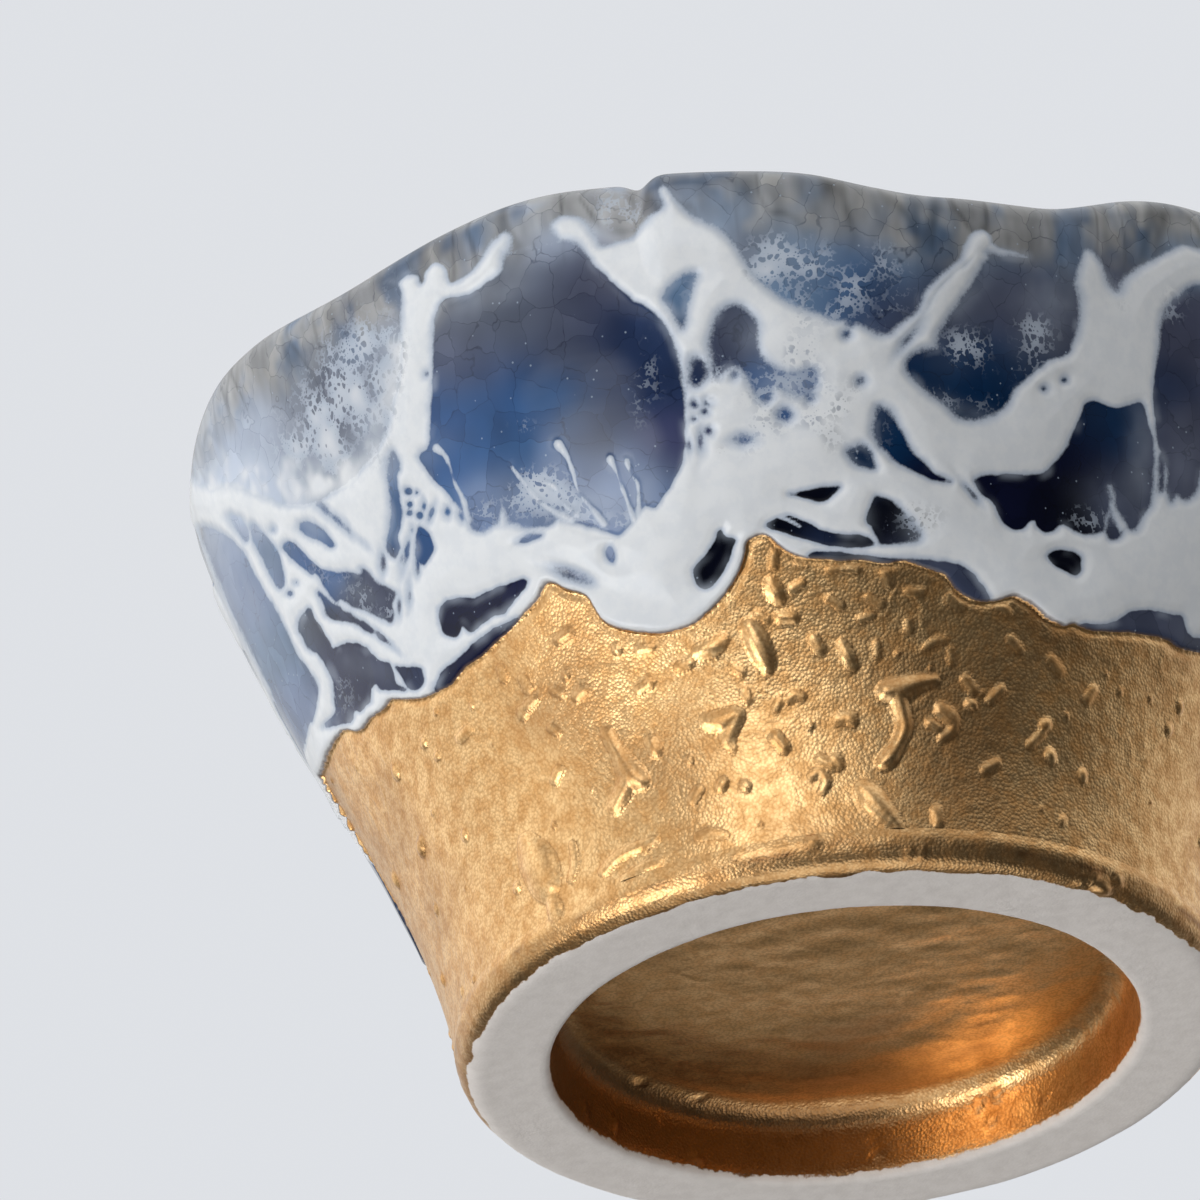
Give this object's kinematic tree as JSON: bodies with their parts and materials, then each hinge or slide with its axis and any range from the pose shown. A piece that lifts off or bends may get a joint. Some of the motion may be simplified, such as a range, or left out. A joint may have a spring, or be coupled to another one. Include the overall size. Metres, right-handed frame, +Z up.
{
  "type": "sake cup",
  "caption": "Small hand-formed sake cup, hollow and open at the top, with a wavy rounded lip, flared wall and turned foot ring; glazed above, gold-coated below.",
  "frame": {"origin": "middle of the cup's bounding box in X and Y, at the flat of the foot ring the cup stands on", "axes": "+Z up out of the mouth; -Y towards the side that the picture shows"},
  "size_m": [0.0678, 0.0685, 0.0407],
  "materials": {
    "cup": "glossy crackled blue glaze under raised white, rough gold coating below, bare foot ring"
  },
  "bodies": {
    "root": {"cup": "cup"}
  },
  "joints": []
}
